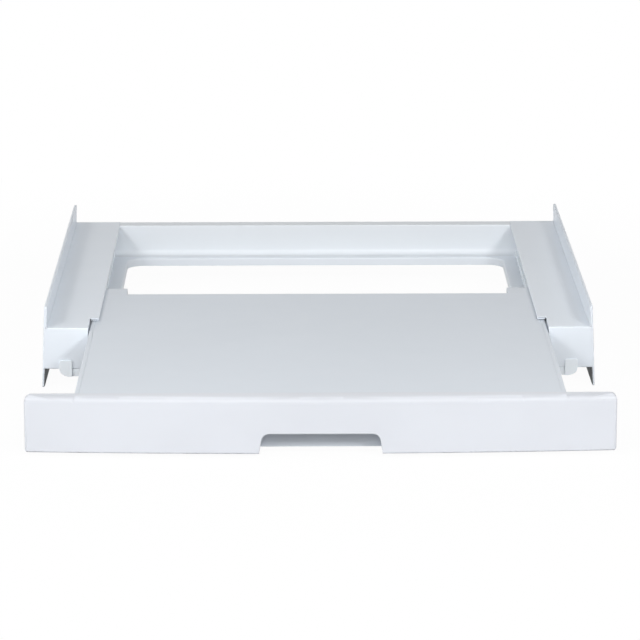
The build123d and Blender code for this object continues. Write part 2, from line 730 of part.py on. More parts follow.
def notch_prism(grow, back):
    """The finger notch grown by grow and carried forwards from back through the panel."""
    top = -notch_top + grow
    foot = -panel_foot - past
    half = notch_half_width + grow
    spread = (notch_half_foot - notch_half_width) / (panel_foot - notch_top)
    low_half = half + spread * (top - foot)
    outline = make_face(Polyline((-half, top), (half, top), (low_half, foot), (-low_half, foot), close=True))
    outline = fillet(outline.vertices().group_by(Axis.Y)[-1], notch_corner + grow)
    return Pos(0, back, 0) * Rot(90, 0, 0) * extrude(outline, amount=back - panel_middle + past)


def panel_stiffening():
    """Upright ribs, the lengthwise rib and the bosses, before they are cut to the shell."""
    half = moulded_rib / 2
    ribs = block(-panel_half, panel_half, panel_middle, panel_back - cross_rib_setback,
                 -cross_rib_drop - half, -cross_rib_drop + half)
    count = int((panel_half - upright_rib_end_gap) / upright_rib_pitch - 0.5) + 1
    for index in range(count):
        x = (index + 0.5) * upright_rib_pitch
        ribs += both_sides(block(x - half, x + half, panel_middle, panel_back - upright_rib_setback,
                                 -panel_foot, -panel_top))
    ribs += both_sides(block(buffer_place - buffer_pad, buffer_place + buffer_pad, panel_middle, panel_back,
                             -buffer_drop - buffer_pad, -buffer_drop + buffer_pad))
    depth = panel_back - panel_middle
    for x in boss_places:
        ribs += hole((x, panel_back - depth / 2, -boss_drop), (0, 1, 0), boss_radius, depth)
    return ribs


def front_panel():
    """Moulded bowed shell, open behind, with finger notch, stiffening ribs and bosses."""
    outer = panel_body()
    cavity = panel_cavity()
    inside = outer & cavity
    panel = (outer - cavity) + (inside & panel_stiffening()) + (inside & notch_prism(notch_wall, panel_back))
    panel -= notch_prism(0, panel_back + past)
    for x in boss_places:
        panel -= hole((x, panel_back, -boss_drop), (0, 1, 0), shank_hole, 2 * boss_bore_depth)
    return panel


def panel_screws():
    """Screws through the tray's front flange into the panel's bosses."""
    seat = tray_front + sheet
    return Compound([screw((x, seat, -boss_drop), (0, -1, 0), panel_screw_length) for x in boss_places])


def panel_buffers():
    """Rubber buffers stuck to the moulded pads behind the panel's ends."""
    middle_y = panel_back + paint_gap + buffer_thickness / 2
    centres = [(side * buffer_place, middle_y, -buffer_drop) for side in (-1, 1)]
    return Compound([hole(centre, (0, 1, 0), buffer_radius, buffer_thickness) for centre in centres])


def save(name, shape):
    """Write one piece in the part's own frame, whose origin is under its middle."""
    export_step(part_shift * shape, os.path.join("parts", name + ".step"))


def main():
    """Build every piece and write it."""
    os.makedirs("parts", exist_ok=True)
    pairs = {
        "side_panel": side_panel,
        "ledge": ledge,
        "guide_rail": guide_rail,
        "tray_stop": tray_stop,
        "front_saddle": front_saddle,
        "front_foot": front_foot,
        "rear_foot": rear_foot,
        "side_runner": side_runner,
        "rear_glide": rear_glide,
    }
    singles = {
        "base_pan": base_pan,
        "rear_beam": rear_beam,
        "saddle_screws": saddle_screws,
        "tray_plate": tray_plate,
        "glide_screws": glide_screws,
        "front_panel": front_panel,
        "panel_screws": panel_screws,
        "panel_buffers": panel_buffers,
    }
    for name, build in pairs.items():
        right = build()
        save(name + "_right", right)
        save(name + "_left", mirror(right, about=Plane.YZ))
    for name, build in singles.items():
        save(name, build())
    save("tray_rib_front", tray_rib(tray_front + rib_front_inset))
    save("tray_rib_rear", tray_rib(tray_rear - rib_rear_inset))
    print("tray travel", tray_travel, "shift", part_shift.position)


main()
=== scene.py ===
import json
import logging
import math
from dataclasses import dataclass, field
from enum import Enum
from typing import Any, Optional, Sequence, Union

import bmesh
import bpy
import numpy as np
from mathutils import Matrix, Vector


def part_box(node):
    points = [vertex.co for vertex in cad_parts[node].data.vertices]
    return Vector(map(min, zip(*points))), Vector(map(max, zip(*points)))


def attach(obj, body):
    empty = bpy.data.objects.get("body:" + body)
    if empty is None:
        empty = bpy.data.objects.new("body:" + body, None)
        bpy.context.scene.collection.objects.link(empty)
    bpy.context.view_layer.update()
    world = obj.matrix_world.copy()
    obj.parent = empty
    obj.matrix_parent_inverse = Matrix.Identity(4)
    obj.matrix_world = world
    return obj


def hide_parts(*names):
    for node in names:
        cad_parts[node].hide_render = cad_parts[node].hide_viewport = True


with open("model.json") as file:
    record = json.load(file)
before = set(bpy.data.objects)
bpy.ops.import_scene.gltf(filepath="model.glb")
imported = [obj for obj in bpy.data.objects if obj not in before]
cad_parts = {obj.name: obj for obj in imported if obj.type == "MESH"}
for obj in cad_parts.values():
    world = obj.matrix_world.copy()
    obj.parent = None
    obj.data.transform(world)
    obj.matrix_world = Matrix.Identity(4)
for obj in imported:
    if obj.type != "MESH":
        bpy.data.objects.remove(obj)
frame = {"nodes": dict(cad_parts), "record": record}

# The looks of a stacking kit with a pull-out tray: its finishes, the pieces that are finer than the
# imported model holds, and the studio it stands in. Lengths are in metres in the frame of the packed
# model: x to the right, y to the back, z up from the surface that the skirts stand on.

log = logging.getLogger("kit")
Colour = tuple[float, float, float]
Point = tuple[float, float, float]
Span = tuple[float, float]
Number = Union[float, "Wire"]
WHITE = (1.0, 1.0, 1.0)
BLACK = (0.0, 0.0, 0.0)
MILLIMETRE = 0.001
MERGE_DISTANCE = 0.002 * MILLIMETRE
# Triangles lie in one plane if their normals round alike to the turn, and their distances from the
# origin to the step.
PLANE_TURN = 0.002
PLANE_STEP = 0.02 * MILLIMETRE
# Keeps a length that is divided by from being zero.
TINY = 1e-6 * MILLIMETRE
# Where the mask of edges starts and is full, as 1 minus the product of true and rounded normals.
EDGE_LEAN = (0.02, 0.2)
BEVEL_SAMPLES = 6
# Drops below the top of the panel where its band of painted shade, which dims the lamps' highlight on the
# top round, starts, is full, fades and ends.
TOP_SHADE_DROPS = (6.5 * MILLIMETRE, 4.7 * MILLIMETRE, 1.7 * MILLIMETRE, 0.4 * MILLIMETRE)


class Side(Enum):
    LEFT = -1
    RIGHT = 1

    def node(self, name: str) -> str:
        """Name of the paired node on this side."""
        return f"{name}_{self.name.lower()}"


class Body(Enum):
    """The bodies that pieces ride on."""

    FRAME = "frame"
    TRAY = "tray"


class Wire:
    """A number socket of a shader that can stand in a Python expression.

    Args:
        bench: The shader that the socket belongs to.
        socket: The output socket that carries the number.
    """

    def __init__(self, bench: "ShaderBench", socket: bpy.types.NodeSocket) -> None:
        """Keep the socket and its shader."""
        self.bench = bench
        self.socket = socket

    def maths(self, operation: str, *values: Number) -> "Wire":
        """Add a Math node on the given values.

        Args:
            operation: The node's operation.
            values: Its inputs in order.

        Returns:
            The node's result.
        """
        node = self.bench.node("ShaderNodeMath", {"operation": operation}, dict(enumerate(values)))
        return Wire(self.bench, node.outputs[0])

    def __add__(self, other: Number) -> "Wire":
        """Sum."""
        return self.maths("ADD", self, other)

    __radd__ = __add__

    def __sub__(self, other: Number) -> "Wire":
        """Difference."""
        return self.maths("SUBTRACT", self, other)

    def __rsub__(self, other: Number) -> "Wire":
        """Difference with the wire on the right."""
        return self.maths("SUBTRACT", other, self)

    def __mul__(self, other: Number) -> "Wire":
        """Product."""
        return self.maths("MULTIPLY", self, other)

    __rmul__ = __mul__

    def at_least(self, other: Number) -> "Wire":
        """The larger of two values."""
        return self.maths("MAXIMUM", self, other)

    def step(self, low: float, high: float) -> "Wire":
        """Rise smoothly from 0 at low to 1 at high.

        Args:
            low: Value that gives 0.
            high: Value that gives 1.

        Returns:
            The smooth step of this wire.
        """
        node = self.bench.node(
            "ShaderNodeMapRange",
            {"interpolation_type": "SMOOTHSTEP"},
            {"Value": self, "From Min": low, "From Max": high},
        )
        return Wire(self.bench, node.outputs[0])


class ShaderBench:
    """The node tree of a material or of the world while it is being wired.

    Args:
        owner: The material or world.
    """

    def __init__(self, owner: Union[bpy.types.Material, bpy.types.World]) -> None:
        """Empty the owner's node tree."""
        owner.use_nodes = True
        self.owner = owner
        self.tree = owner.node_tree
        self.tree.nodes.clear()

    def node(self, kind: str, settings: dict[str, Any], inputs: dict[Any, Any]) -> bpy.types.Node:
        """Add a node, set it up, and fill or link its sockets.

        Args:
            kind: Blender's name of the node type.
            settings: Properties, set first.
            inputs: Socket name or number to a value, a wire or an output socket.

        Returns:
            The node.
        """
        node = self.tree.nodes.new(kind)
        for key, value in settings.items():
            setattr(node, key, value)
        for key, value in inputs.items():
            socket = node.inputs[key]
            if isinstance(value, Wire):
                self.tree.links.new(value.socket, socket)
            elif isinstance(value, bpy.types.NodeSocket):
                self.tree.links.new(value, socket)
            else:
                socket.default_value = value
        return node

    def place(self) -> bpy.types.NodeSocket:
        """Object coordinates, in metres."""
        return self.node("ShaderNodeTexCoord", {}, {}).outputs["Object"]

    def axes(self) -> tuple[Wire, Wire, Wire]:
        """The three object coordinates as separate wires."""
        split = self.node("ShaderNodeSeparateXYZ", {}, {0: self.place()})
        return tuple(Wire(self, socket) for socket in split.outputs[:3])

    def stretched(self, scale: Point) -> bpy.types.NodeSocket:
        """Object coordinates multiplied by a factor along each axis."""
        return self.node("ShaderNodeMapping", {}, {"Vector": self.place(), "Scale": scale}).outputs[0]

    def noise(self, size: float, detail: float = 2.0, where: Optional[bpy.types.NodeSocket] = None) -> Wire:
        """Smooth noise about 0.5.

        Args:
            size: Width of a typical blotch, in metres.
            detail: Octaves of finer noise on top.
            where: Coordinates to read, or the object's own.

        Returns:
            The noise.
        """
        inputs = {"Vector": where or self.place(), "Scale": 1.0 / size, "Detail": detail}
        return Wire(self, self.node("ShaderNodeTexNoise", {}, inputs).outputs[0])

    def grains(self, size: float) -> Wire:
        """Distance to the nearest of many scattered points, in grain widths."""
        inputs = {"Vector": self.place(), "Scale": 1.0 / size}
        return Wire(self, self.node("ShaderNodeTexVoronoi", {}, inputs).outputs["Distance"])

    def polish(self, roughness: float, size: float, swing: float) -> Wire:
        """Roughness that swings about its mean from blotch to blotch.

        Args:
            roughness: The mean.
            size: Width of a typical blotch, in metres.
            swing: Share of the noise that is added.

        Returns:
            The roughness.
        """
        return roughness + (self.noise(size, detail=3.0) - 0.5) * swing

    def mixed(self, share: Number, first: Colour, second: Colour) -> bpy.types.NodeSocket:
        """Blend two colours by a share of the second; sockets 6 and 7 take them, output 2 is theirs."""
        inputs = {0: share, 6: (*first, 1.0), 7: (*second, 1.0)}
        return self.node("ShaderNodeMix", {"data_type": "RGBA"}, inputs).outputs[2]

    def soft_edges(self, radius: float) -> bpy.types.NodeSocket:
        """Normals as if every edge were rounded by a radius."""
        return self.node("ShaderNodeBevel", {"samples": BEVEL_SAMPLES}, {"Radius": radius}).outputs[0]

    def edge_mask(self, radius: float) -> Wire:
        """1 along edges and 0 on flat stretches, from how far rounded normals lean.

        Args:
            radius: How far the mask reaches from an edge, in metres.

        Returns:
            The mask.
        """
        true_normal = self.node("ShaderNodeNewGeometry", {}, {}).outputs["True Normal"]
        rounded = self.soft_edges(radius)
        node = self.node("ShaderNodeVectorMath", {"operation": "DOT_PRODUCT"}, {0: rounded, 1: true_normal})
        return (1.0 - Wire(self, node.outputs["Value"])).step(*EDGE_LEAN)

    def bump(self, height: Wire, depth: float, normal: bpy.types.NodeSocket) -> bpy.types.NodeSocket:
        """Normals of a surface raised by height times depth.

        Args:
            height: Height from 0 to 1.
            depth: Metres that a height of 1 stands out.
            normal: Normals to start from.

        Returns:
            The bumped normals.
        """
        inputs = {"Height": height, "Distance": depth, "Strength": 1.0, "Normal": normal}
        return self.node("ShaderNodeBump", {}, inputs).outputs[0]

    def looked_at(self) -> Wire:
        """1 for rays that see, mirror or look through, and 0 for those that carry light."""
        path = self.node("ShaderNodeLightPath", {}, {})
        camera, mirror, through = (
            Wire(self, path.outputs[f"Is {kind} Ray"]) for kind in ("Camera", "Glossy", "Transmission")
        )
        return camera.at_least(mirror).at_least(through)

    def finish(self, values: dict[str, Any]) -> bpy.types.Material:
        """Add the surface shader and the output.

        Args:
            values: Socket name of the surface shader to a value, wire or socket.

        Returns:
            The finished material.
        """
        surface = self.node("ShaderNodeBsdfPrincipled", {}, values)
        self.node("ShaderNodeOutputMaterial", {}, {"Surface": surface.outputs[0]})
        return self.owner


@dataclass(frozen=True)
class Enamel:
    """Powder-coated sheet steel: satin orange peel, a little darker and rougher along the edges."""

    name: str
    colour: Colour
    roughness: float = 0.42
    polish_size: float = 30 * MILLIMETRE
    polish_swing: float = 0.12
    peel_size: float = 2.6 * MILLIMETRE
    peel_depth: float = 0.010 * MILLIMETRE
    waviness_size: float = 45 * MILLIMETRE
    waviness_depth: float = 0.018 * MILLIMETRE
    edge_radius: float = 0.45 * MILLIMETRE
    edge_roughness: float = 0.05
    shade_share: float = 0.05
    cloud_size: float = 0.22
    cloud_range: Span = (0.35, 0.65)
    cloud_share: float = 0.3
    edge_share: float = 0.5
    ior: float = 1.48

    def material(self) -> bpy.types.Material:
        """Wire the finish.

        Returns:
            The material.
        """
        bench = ShaderBench(bpy.data.materials.new(self.name))
        shade = tuple(channel * (1.0 - self.shade_share) for channel in self.colour)
        cloud = bench.noise(self.cloud_size, detail=3.0).step(*self.cloud_range)
        edge = bench.edge_mask(self.edge_radius)
        peel = bench.noise(self.peel_size, detail=1.0)
        wave = bench.noise(self.waviness_size, detail=0.0)
        wavy = bench.bump(wave, self.waviness_depth, bench.soft_edges(self.edge_radius))
        rough = bench.polish(self.roughness, self.polish_size, self.polish_swing)
        return bench.finish({
            "Base Color": bench.mixed(cloud * self.cloud_share + edge * self.edge_share, self.colour, shade),
            "Roughness": rough + edge * self.edge_roughness,
            "Normal": bench.bump(peel, self.peel_depth, wavy),
            "IOR": self.ior,
        })


@dataclass(frozen=True)
class MouldedPlastic:
    """Moulded plastic: a fine spark-eroded grain over a smooth body colour.

    A level band of it can be darker by the top shade share: painted shade that dims a highlight.
    """

    name: str
    colour: Colour
    roughness: float = 0.5
    polish_size: float = 25 * MILLIMETRE
    polish_swing: float = 0.1
    grain_size: float = 0.45 * MILLIMETRE
    grain_depth: float = 0.016 * MILLIMETRE
    grain_share: float = 0.6
    ripple: float = 2.5
    edge_radius: float = 0.35 * MILLIMETRE
    subsurface: float = 0.1
    subsurface_depth: float = 1.0 * MILLIMETRE
    subsurface_tint: Colour = (0.9, 1.0, 1.1)
    coat: float = 0.0
    coat_roughness: float = 0.12
    ior: float = 1.49
    flow_size: float = 0.12
    flow_range: Span = (0.3, 0.7)
    shade_share: float = 0.03
    handled_share: float = 0.0
    handled_band: tuple[float, ...] = (0.0, 0.0, 0.0, 0.0)

    def material(self) -> bpy.types.Material:
        """Wire the finish.

        Returns:
            The material.
        """
        bench = ShaderBench(bpy.data.materials.new(self.name))
        share = bench.noise(self.flow_size).step(*self.flow_range) * self.shade_share
        # A level band darkened towards black: painted shade over the highlight on a round.
        if self.handled_share > 0.0:
            low, full, fading, high = self.handled_band
            height = bench.axes()[2]
            share = share + height.step(low, full) * (1.0 - height.step(fading, high)) * self.handled_share
        ripples = bench.noise(self.grain_size * self.ripple, detail=1.0)
        grain = bench.grains(self.grain_size) * self.grain_share + ripples * (1.0 - self.grain_share)
        return bench.finish({
            "Base Color": bench.mixed(share, self.colour, BLACK),
            "Roughness": bench.polish(self.roughness, self.polish_size, self.polish_swing),
            "Normal": bench.bump(grain, self.grain_depth, bench.soft_edges(self.edge_radius)),
            "IOR": self.ior,
            "Subsurface Weight": self.subsurface,
            "Subsurface Radius": self.subsurface_tint,
            "Subsurface Scale": self.subsurface_depth,
            "Coat Weight": self.coat,
            "Coat Roughness": self.coat_roughness,
        })


@dataclass(frozen=True)
class Rubber:
    """Moulded or foam rubber: matt, with a bloom of pale dust."""

    name: str
    colour: Colour
    bloom: Colour
    roughness: float = 0.72
    dust_size: float = 6 * MILLIMETRE
    dust_range: Span = (0.45, 0.75)
    dust_share: float = 0.5
    dust_roughness: float = 0.2
    grain_size: float = 0.5 * MILLIMETRE
    grain_depth: float = 0.03 * MILLIMETRE
    edge_radius: float = 0.5 * MILLIMETRE
    ior: float = 1.5

    def material(self) -> bpy.types.Material:
        """Wire the finish.

        Returns:
            The material.
        """
        bench = ShaderBench(bpy.data.materials.new(self.name))
        dust = bench.noise(self.dust_size, detail=4.0).step(*self.dust_range) * self.dust_share
        grain = bench.noise(self.grain_size)
        return bench.finish({
            "Base Color": bench.mixed(dust, self.colour, self.bloom),
            "Roughness": self.roughness + dust * self.dust_roughness,
            "Normal": bench.bump(grain, self.grain_depth, bench.soft_edges(self.edge_radius)),
            "IOR": self.ior,
        })


@dataclass(frozen=True)
class ZincSteel:
    """Zinc-plated steel: bright, with duller and rougher spangled patches."""

    name: str
    colour: Colour
    dull: Colour
    roughness: float = 0.28
    patch_size: float = 1.4 * MILLIMETRE
    patch_range: Span = (0.1, 0.9)
    patch_share: float = 0.6
    patch_roughness: float = 0.14
    scratch_size: float = 0.25 * MILLIMETRE
    scratch_depth: float = 0.008 * MILLIMETRE
    edge_radius: float = 0.15 * MILLIMETRE

    def material(self) -> bpy.types.Material:
        """Wire the finish.

        Returns:
            The material.
        """
        bench = ShaderBench(bpy.data.materials.new(self.name))
        patches = bench.grains(self.patch_size).step(*self.patch_range)
        scratches = bench.noise(self.scratch_size)
        return bench.finish({
            "Base Color": bench.mixed(patches * self.patch_share, self.colour, self.dull),
            "Roughness": self.roughness + patches * self.patch_roughness,
            "Metallic": 1.0,
            "Normal": bench.bump(scratches, self.scratch_depth, bench.soft_edges(self.edge_radius)),
        })


@dataclass(frozen=True)
class SlickStrip:
    """Low-friction strip: waxy, slightly see-through, with lengthwise rub marks."""

    name: str
    colour: Colour
    rubbed: Colour
    roughness: float = 0.34
    rub_size: float = 1.2 * MILLIMETRE
    rub_stretch: Point = (1.0, 0.03, 1.0)
    rub_range: Span = (0.4, 0.7)
    rub_roughness: float = 0.22
    rub_depth: float = 0.02 * MILLIMETRE
    edge_radius: float = 0.3 * MILLIMETRE
    subsurface: float = 0.25
    subsurface_depth: float = 1.5 * MILLIMETRE

    def material(self) -> bpy.types.Material:
        """Wire the finish.

        Returns:
            The material.
        """
        bench = ShaderBench(bpy.data.materials.new(self.name))
        along = bench.stretched(self.rub_stretch)
        rub = bench.noise(self.rub_size, detail=3.0, where=along).step(*self.rub_range)
        return bench.finish({
            "Base Color": bench.mixed(rub, self.colour, self.rubbed),
            "Roughness": self.roughness + rub * self.rub_roughness,
            "Normal": bench.bump(rub, self.rub_depth, bench.soft_edges(self.edge_radius)),
            "Subsurface Weight": self.subsurface,
            "Subsurface Radius": (1.0, 1.0, 1.0),
            "Subsurface Scale": self.subsurface_depth,
        })


class Wardrobe:
    """The tray, the beam, the base and the glides have their own batch of enamel or plastic: lit and shaded
    copies of one white, paler on the base as painted light, and darker on the tray, beam and glides as
    painted shade.
    """

    def __init__(self) -> None:
        """Make every material once."""
        panel_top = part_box("front_panel")[1][2]
        # The panel's top round gets a band of painted shade that dims its highlight.
        panel_gloss = MouldedPlastic(
            "panel_gloss", (0.714, 0.738, 0.786), roughness=0.46, grain_size=0.9 * MILLIMETRE,
            grain_depth=0.003 * MILLIMETRE, edge_radius=1.5 * MILLIMETRE, subsurface=0.06, coat=0.05,
            handled_share=0.11, handled_band=tuple(panel_top - drop for drop in TOP_SHADE_DROPS))
        finishes = (
            Enamel("white_enamel", (0.782, 0.832, 0.89)),
            MouldedPlastic("moulded_white", (0.885, 0.935, 0.98)),
            panel_gloss,
            SlickStrip("slick_strip", (0.66, 0.66, 0.63), (0.74, 0.74, 0.72)),
            Rubber("grey_rubber", (0.045, 0.045, 0.048), (0.12, 0.12, 0.12)),
            ZincSteel("zinc_steel", (0.70, 0.71, 0.72), (0.52, 0.53, 0.55)),
        )
        self.materials = {finish.name: finish.material() for finish in finishes}
        # The dark grey of the strips inside the skirts is painted shade.
        self.foam = Rubber("foam_grey", (0.22, 0.228, 0.232), (0.27, 0.275, 0.28)).material()
        # Lit and shaded copies of the white finishes: painted light on the base, painted shade on the tray,
        # beam and glides.
        batches = {
            Enamel("tray_enamel", (0.678, 0.726, 0.783)): ("tray_plate", "tray_rib_front", "tray_rib_rear"),
            Enamel("beam_enamel", (0.758, 0.795, 0.832)): ("rear_beam",),
            Enamel("pan_enamel", (0.822, 0.87, 0.925)): ("base_pan",),
            MouldedPlastic("glide_white", (0.70, 0.745, 0.80)): ("rear_glide_left", "rear_glide_right"),
        }
        self.batches: dict[str, bpy.types.Material] = {}
        for finish, nodes in batches.items():
            self.batches.update(dict.fromkeys(nodes, finish.material()))

    def dress(self, piece: bpy.types.Object, slot: str) -> None:
        """Give a piece the material of a slot.

        Args:
            piece: The object.
            slot: The record's slot name.
        """
        piece.data.materials.clear()
        piece.data.materials.append(self.materials[slot])


def ring_mesh(name: str, rings: np.ndarray, sharp_degrees: float) -> bpy.types.Object:
    """Close a stack of rings into a solid.

    The surface is the grid of the rings, joined from each ring to the next and round each ring, and
    a fan of triangles from the middle of the first and of the last ring. Each ring runs
    counter-clockwise seen from the side that the stack grows towards, so that faces point outwards.

    Args:
        name: The object's name.
        rings: Points with shape (rings, points around, 3), from the start cap to the end cap.
        sharp_degrees: Edges that turn more than this are shaded sharp.

    Returns:
        The new object, at the origin.
    """
    count, around, _ = rings.shape
    points = np.concatenate([rings.reshape(-1, 3), rings[:1].mean(axis=1), rings[-1:].mean(axis=1)])
    index = np.arange(count * around).reshape(count, around)
    turned = np.roll(index, -1, axis=1)
    quads = np.stack([index[:-1], turned[:-1], turned[1:], index[1:]], axis=-1).reshape(-1, 4)
    first, last = count * around, count * around + 1
    start = np.stack([turned[0], index[0], np.full(around, first)], axis=-1)
    end = np.stack([index[-1], turned[-1], np.full(around, last)], axis=-1)
    mesh = bpy.data.meshes.new(name)
    faces = quads.tolist() + start.tolist() + end.tolist()
    mesh.from_pydata(points.tolist(), [], faces)
    mesh.shade_smooth()
    mesh.set_sharp_from_angle(angle=math.radians(sharp_degrees))
    mesh.validate()
    piece = bpy.data.objects.new(name, mesh)
    bpy.context.scene.collection.objects.link(piece)
    return piece


def join(name: str, pieces: Sequence[bpy.types.Object]) -> bpy.types.Object:
    """Join objects at the origin into one.

    Args:
        name: Name of the joined object.
        pieces: Objects to join; they are used up.

    Returns:
        The joined object.
    """
    with bpy.context.temp_override(active_object=pieces[0], selected_editable_objects=list(pieces)):
        bpy.ops.object.join()
    pieces[0].name = name
    pieces[0].data.name = name
    return pieces[0]


def read(items: Any, name: str, width: int) -> np.ndarray:
    """An attribute of all items of a mesh as an array of rows."""
    values = np.zeros(len(items) * width)
    items.foreach_get(name, values)
    return values.reshape(-1, width)


def turned_frame(direction: Vector) -> np.ndarray:
    """Columns are two cross axes and the direction itself, right-handed.

    Args:
        direction: The axis that local z turns to.

    Returns:
        A 3 by 3 rotation.
    """
    rotation = Vector((0.0, 0.0, 1.0)).rotation_difference(direction).to_matrix()
    return np.array(rotation)


@dataclass
class HexScrew:
    """Self-tapping screw with a hexagon washer head, as a function of turn and height."""

    seat: Point
    direction: Point
    length: float
    shank_radius: float = 1.75 * MILLIMETRE
    core_radius: float = 1.32 * MILLIMETRE
    pitch: float = 1.25 * MILLIMETRE
    flange_radius: float = 3.55 * MILLIMETRE
    flange_height: float = 0.55 * MILLIMETRE
    hexagon_radius: float = 2.85 * MILLIMETRE
    head_height: float = 2.0 * MILLIMETRE
    crown: float = 0.35 * MILLIMETRE
    point_length: float = 2.2 * MILLIMETRE
    tip_share: float = 0.12
    first_thread: float = 0.15 * MILLIMETRE
    ridge_power: int = 3
    around: int = 48
    rings_per_turn: int = 10
    sharp_degrees: float = 38.0

    def head_rows(self) -> np.ndarray:
        """The head's profile, from the dished top over the hexagon and the flange to the shank.

        Returns:
            Rows of a radius, the least and the most of the hexagon's shape there, and a height. A
            shape of 1 is a circle.
        """
        top, ledge = -self.head_height, -self.flange_height
        hexagon, flange, crown = self.hexagon_radius, self.flange_radius, self.crown
        return np.array([
            (0.35 * hexagon, 1.0, 1.0, top + 0.25 * crown),
            (0.62 * hexagon, 1.0, 1.0, top),
            (hexagon - 0.6 * crown, 0.0, 0.93, top + 0.1 * crown),
            (hexagon, 0.0, 0.97, top + crown),
            (hexagon, 0.0, 1.0, top + 1.6 * crown),
            (hexagon, 0.0, 1.0, ledge - 0.12 * MILLIMETRE),
            (hexagon + 0.1 * MILLIMETRE, 0.93, 1.0, ledge),
            (flange - 0.15 * MILLIMETRE, 1.0, 1.0, ledge + 0.12 * MILLIMETRE),
            (flange, 1.0, 1.0, ledge + 0.25 * MILLIMETRE),
            (flange, 1.0, 1.0, -0.05 * MILLIMETRE),
            (flange - 0.05 * MILLIMETRE, 1.0, 1.0, 0.0),
            (self.shank_radius, 1.0, 1.0, 0.0),
        ])

    def rings(self) -> np.ndarray:
        """The screw's rings from the top of its head to its point.

        The head's rings have the radius of a hexagon, r = apothem / cos(turn folded into a sixth
        about a face), clipped to its row's least and most. Down the shank the radius is the core's
        plus a ridge, the cube of the positive part of the cosine of (turn - 2 pi height / pitch).
        The core shrinks linearly over the point, and the ridge with the square root of that.

        Returns:
            Points with shape (rings, around, 3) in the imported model's frame.
        """
        turn = np.linspace(0.0, 2.0 * np.pi, self.around, endpoint=False)
        sixth = np.pi / 3.0
        folded = np.mod(turn + sixth / 2.0, sixth) - sixth / 2.0
        hexagon = np.cos(sixth / 2.0) / np.cos(folded)
        size, least, most, depth = self.head_rows().T[:, :, None]
        head = size * np.clip(hexagon, least, most)
        steps = int(self.length / self.pitch * self.rings_per_turn)
        level = np.linspace(self.first_thread, self.length, steps)[:, None]
        phase = turn - 2.0 * np.pi * level / self.pitch
        ridge = np.clip(np.cos(phase), 0.0, 1.0) ** self.ridge_power
        fade = np.clip((self.length - level) / self.point_length, 0.0, 1.0)
        start = np.clip(level / self.pitch, 0.0, 1.0)
        core = self.core_radius * (self.tip_share + (1.0 - self.tip_share) * fade)
        rise = ridge * np.sqrt(fade) * start + (1.0 - start)
        shank = core + (self.shank_radius - self.core_radius) * rise
        radius = np.concatenate([head, shank])
        height = np.broadcast_to(np.concatenate([depth, level]), radius.shape)
        local = np.stack([radius * np.cos(turn), radius * np.sin(turn), height], axis=-1)
        return local @ turned_frame(Vector(self.direction)).T + np.array(self.seat)


@dataclass
class RubberBuffer:
    """Small stuck-on buffer with a domed face."""

    centre: Point
    radius: float
    thickness: float
    edge: float = 0.7 * MILLIMETRE
    dome: float = 0.25 * MILLIMETRE
    chamfer: float = 0.1 * MILLIMETRE
    face_span: Span = (0.9, 0.08)
    around: int = 48
    dome_rings: int = 8
    sharp_degrees: float = 40.0

    def rings(self) -> np.ndarray:
        """Rings from the stuck face to the dome.

        The side is straight with a chamfer at its foot, the edge is a quarter circle, and the face is
        a shallow dome whose height falls with the square of the radius.

        Returns:
            Points with shape (rings, around, 3); the dome looks towards +y.
        """
        turn = np.linspace(0.0, 2.0 * np.pi, self.around, endpoint=False)
        low, high = -self.thickness / 2.0, self.thickness / 2.0
        arc = np.linspace(0.0, np.pi / 2.0, self.dome_rings)
        edge_radius = self.radius - self.edge + self.edge * np.cos(arc)
        edge_height = high - self.dome - self.edge + self.edge * np.sin(arc)
        share = np.linspace(*self.face_span, self.dome_rings)
        face_radius = (self.radius - self.edge) * share
        face_height = high - self.dome * share ** 2
        radius = np.concatenate([[self.radius - self.chamfer, self.radius], edge_radius, face_radius])
        height = np.concatenate([[low, low + self.chamfer], edge_height, face_height])
        ring = np.stack([np.cos(turn), np.zeros_like(turn), -np.sin(turn)], axis=-1)
        points = radius[:, None, None] * ring[None]
        points[..., 1] += height[:, None]
        return points + np.array(self.centre)


def clusters(node: str, gap: float = 4 * MILLIMETRE) -> list[np.ndarray]:
    """Split a node's points into its separate solids.

    Points are sorted along x, and a step wider than the gap starts a new solid.

    Args:
        node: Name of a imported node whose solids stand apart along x.
        gap: Least distance between two solids.

    Returns:
        The points of each solid, from left to right.
    """
    points = read(frame["nodes"][node].data.vertices, "co", 3)
    points = points[np.argsort(points[:, 0])]
    cuts = np.nonzero(np.diff(points[:, 0]) > gap)[0] + 1
    return np.split(points, cuts)


@dataclass
class ScrewSet:
    """All the screws of one node, which point along an axis, up it or down it by the sign."""

    node: str
    body: Body
    axis: int
    sign: int

    def build(self, wardrobe: Wardrobe) -> None:
        """Stand a finer screw in for each solid of the node.

        Args:
            wardrobe: The finishes.
        """
        pieces = []
        head = HexScrew.head_height
        direction = np.zeros(3)
        direction[self.axis] = self.sign
        for points in clusters(self.node):
            low, high = points[:, self.axis].min(), points[:, self.axis].max()
            seat = (points.min(axis=0) + points.max(axis=0)) / 2.0
            seat[self.axis] = low + head if self.sign > 0 else high - head
            screw = HexScrew(tuple(seat), tuple(direction), high - low - head)
            pieces.append(ring_mesh("screw", screw.rings(), screw.sharp_degrees))
        piece = join(self.node.replace("screws", "hex_screws"), pieces)
        wardrobe.dress(piece, "zinc_steel")
        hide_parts(self.node)
        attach(piece, self.body.value)
        log.info("%s: %d screws, %d faces", piece.name, len(pieces), len(piece.data.polygons))


